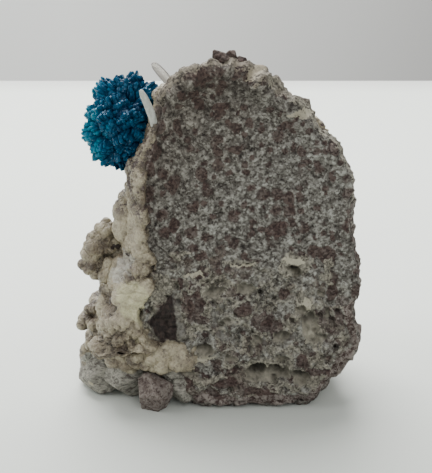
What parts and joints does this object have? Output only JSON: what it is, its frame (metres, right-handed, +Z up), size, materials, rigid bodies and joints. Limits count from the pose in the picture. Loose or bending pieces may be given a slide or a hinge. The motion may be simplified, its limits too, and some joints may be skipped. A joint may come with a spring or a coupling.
{
  "type": "cavansite specimen",
  "caption": "Blue cavansite rosette and small stilbite blades on a cream zeolite crust over a broken block of basalt breccia; a mineral specimen that stands on its flat base.",
  "frame": {"origin": "a point near the middle of the flat on the block's underside, which the specimen stands on", "axes": "+Z up, along the block's height; -Y out of the flat broken face; -X towards the side with the crust and the rosette"},
  "size_m": [0.0485, 0.0374, 0.0592],
  "materials": {
    "basalt_breccia": "matt broken rock, finely speckled grey with purple-brown pieces and cream veins",
    "cream_zeolite": "sugary cream crust of rounded lumps with a dull sparkle",
    "cavansite_blue": "glassy deep blue blades, teal where they are thin",
    "white_stilbite": "milky white pearly blade",
    "clear_stilbite": "nearly clear greyish blade"
  },
  "bodies": {
    "root": {"basalt_matrix": "basalt_breccia", "zeolite_crust": "cream_zeolite", "cavansite_rosette": "cavansite_blue", "stilbite_blade_front": "white_stilbite", "stilbite_blade_top": "clear_stilbite"}
  },
  "joints": []
}
